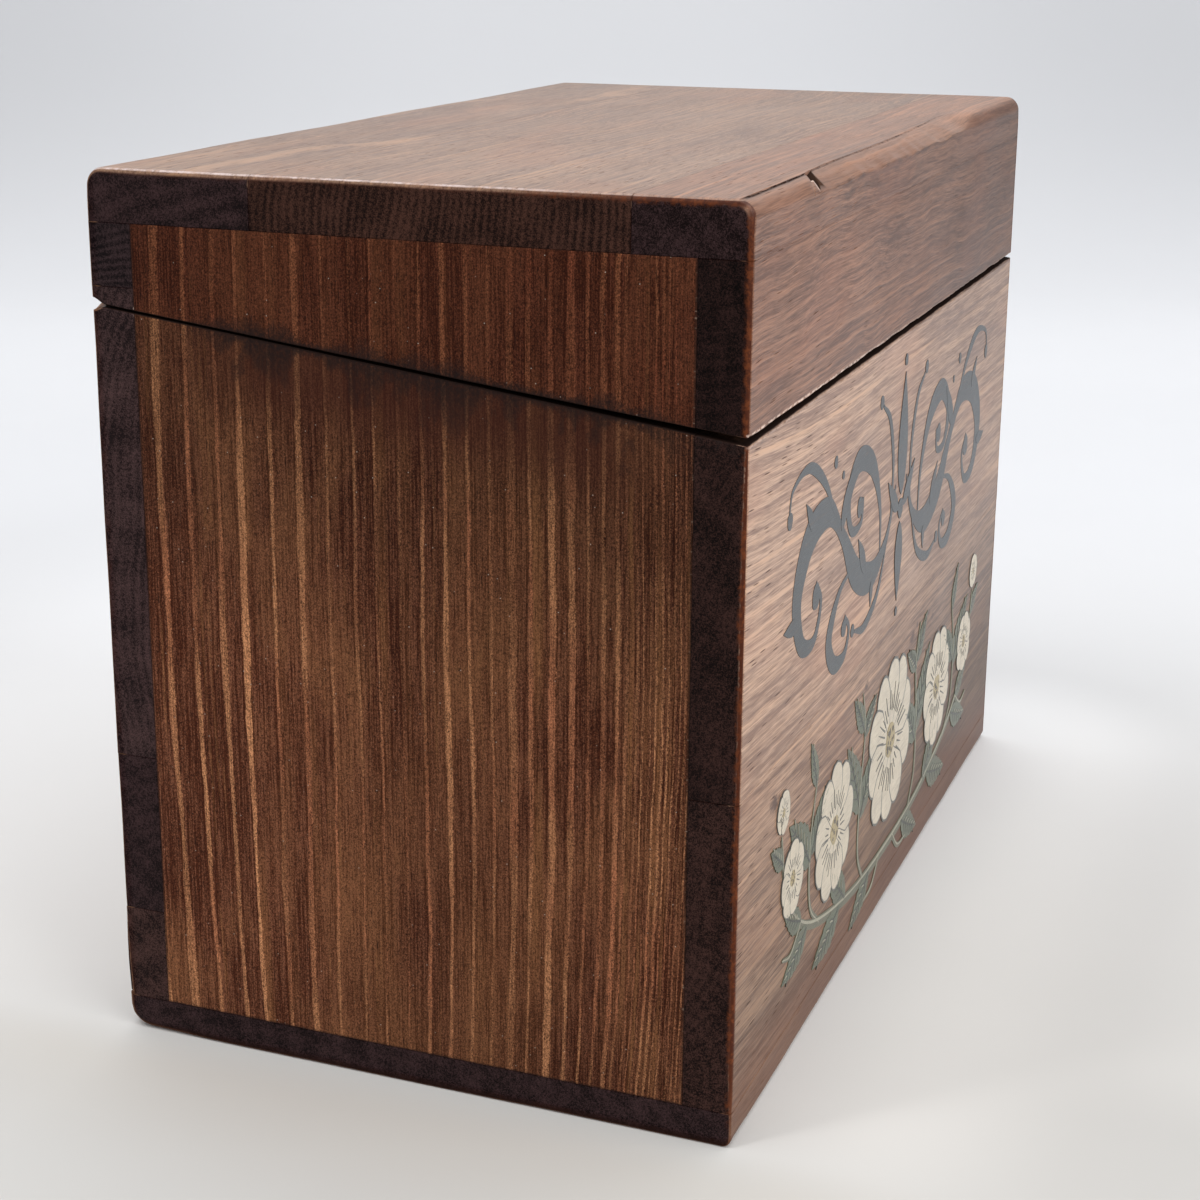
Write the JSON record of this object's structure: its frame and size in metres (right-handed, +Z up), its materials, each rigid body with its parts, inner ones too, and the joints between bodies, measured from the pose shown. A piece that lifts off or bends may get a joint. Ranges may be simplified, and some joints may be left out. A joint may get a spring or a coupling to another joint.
{
  "type": "recipe card box",
  "caption": "Free-standing wooden card box of glued boards with a slanted lid that swings up on butt hinges at the back.",
  "frame": {"origin": "the middle of the underside, where the box stands", "axes": "+Z up; X along the long side; the front faces -Y and the hinges are at +Y"},
  "size_m": [0.1524, 0.0858, 0.1144],
  "materials": {
    "dark_wood": "satin",
    "front_wood": "satin",
    "back_wood": "satin",
    "end_wood": "satin",
    "top_wood": "satin",
    "hinge_brass": "satin",
    "screw_brass": "satin"
  },
  "bodies": {
    "box": {"bottom_board": "dark_wood", "front_lower_board": "front_wood", "front_upper_board": "front_wood", "back_lower_strip": "back_wood", "back_middle_strip": "back_wood", "back_upper_board": "back_wood", "left_end_panel": "end_wood", "right_end_panel": "end_wood", "left_hinge_body_leaf": "hinge_brass", "right_hinge_body_leaf": "hinge_brass", "left_hinge_pin": "hinge_brass", "right_hinge_pin": "hinge_brass", "left_hinge_body_screws": "screw_brass", "right_hinge_body_screws": "screw_brass"},
    "lid": {"top_back_board": "top_wood", "top_middle_board": "top_wood", "top_front_board": "top_wood", "lid_front_rail": "front_wood", "lid_back_sliver": "back_wood", "lid_back_rail": "back_wood", "lid_left_end": "end_wood", "lid_right_end": "end_wood", "left_hinge_lid_leaf": "hinge_brass", "right_hinge_lid_leaf": "hinge_brass", "left_hinge_lid_screws": "screw_brass", "right_hinge_lid_screws": "screw_brass"}
  },
  "joints": [
    {"name": "lid_hinge", "type": "hinge", "parent": "box", "child": "lid", "pos_m": [0, 0.04208, 0.09779], "axis": [-1, 0, 0], "range_deg": [0, 105]}
  ]
}
